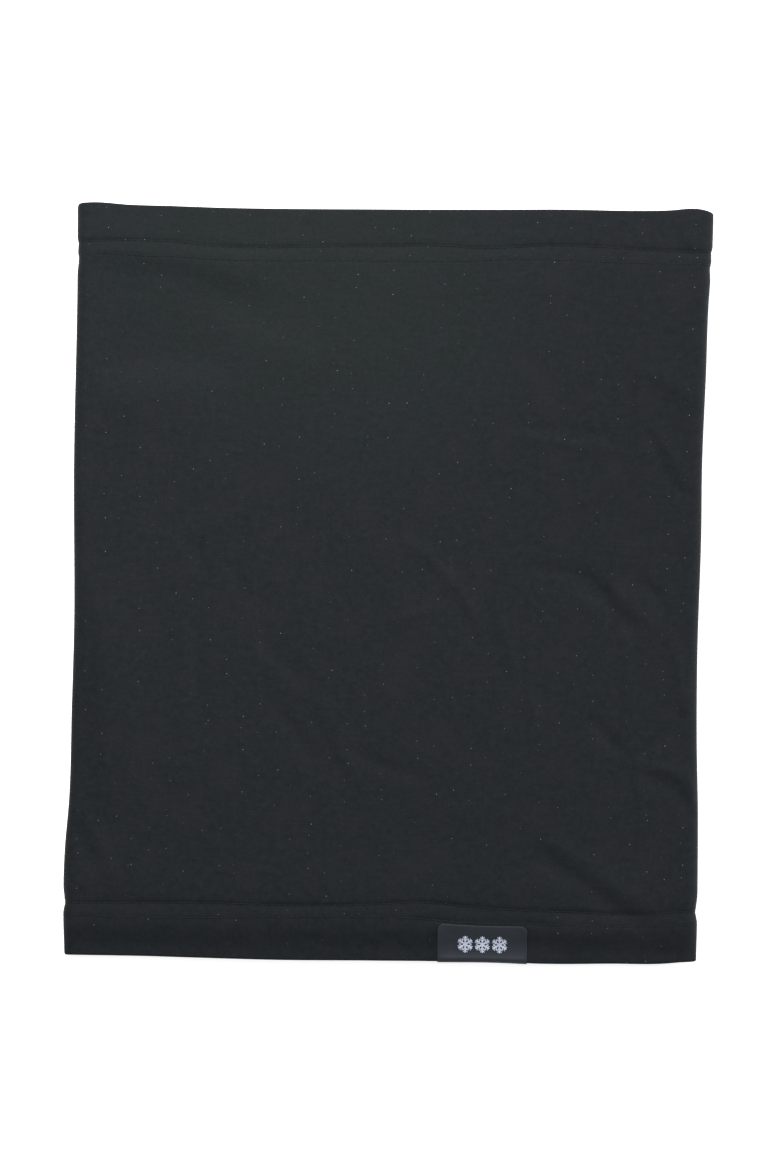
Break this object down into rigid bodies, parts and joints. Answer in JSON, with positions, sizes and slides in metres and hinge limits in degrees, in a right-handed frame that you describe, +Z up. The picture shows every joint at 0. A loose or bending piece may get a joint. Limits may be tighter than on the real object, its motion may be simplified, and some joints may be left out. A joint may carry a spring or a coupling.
{
  "type": "neck gaiter",
  "caption": "Flat-laid knitted neck tube for snow sports, with twin-needle hems, a flat seam at the centre back and a soft tab label folded over the lower hem.",
  "frame": {"origin": "under the middle of the back layer, on the surface that the gaiter lies on", "axes": "+Z up out of the front layer, +Y along the tube towards its upper hem, +X across it towards the side that the label is on"},
  "size_m": [0.25, 0.296, 0.0097],
  "materials": {
    "jersey": "matte",
    "sewing_thread": "matte",
    "label_rubber": "satin",
    "label_motif": "satin"
  },
  "bodies": {
    "root": {"body_cloth": "jersey", "top_hem_needle_thread_outer": "sewing_thread", "top_hem_needle_thread_inner": "sewing_thread", "top_hem_looper_thread": "sewing_thread", "bottom_hem_needle_thread_outer": "sewing_thread", "bottom_hem_needle_thread_inner": "sewing_thread", "bottom_hem_looper_thread": "sewing_thread", "back_seam_needle_thread_right": "sewing_thread", "back_seam_needle_thread_left": "sewing_thread", "back_seam_cover_thread": "sewing_thread", "back_seam_looper_thread": "sewing_thread", "tab_label": "label_rubber", "label_snowflake_1": "label_motif", "label_snowflake_2": "label_motif", "label_snowflake_3": "label_motif"}
  },
  "joints": []
}
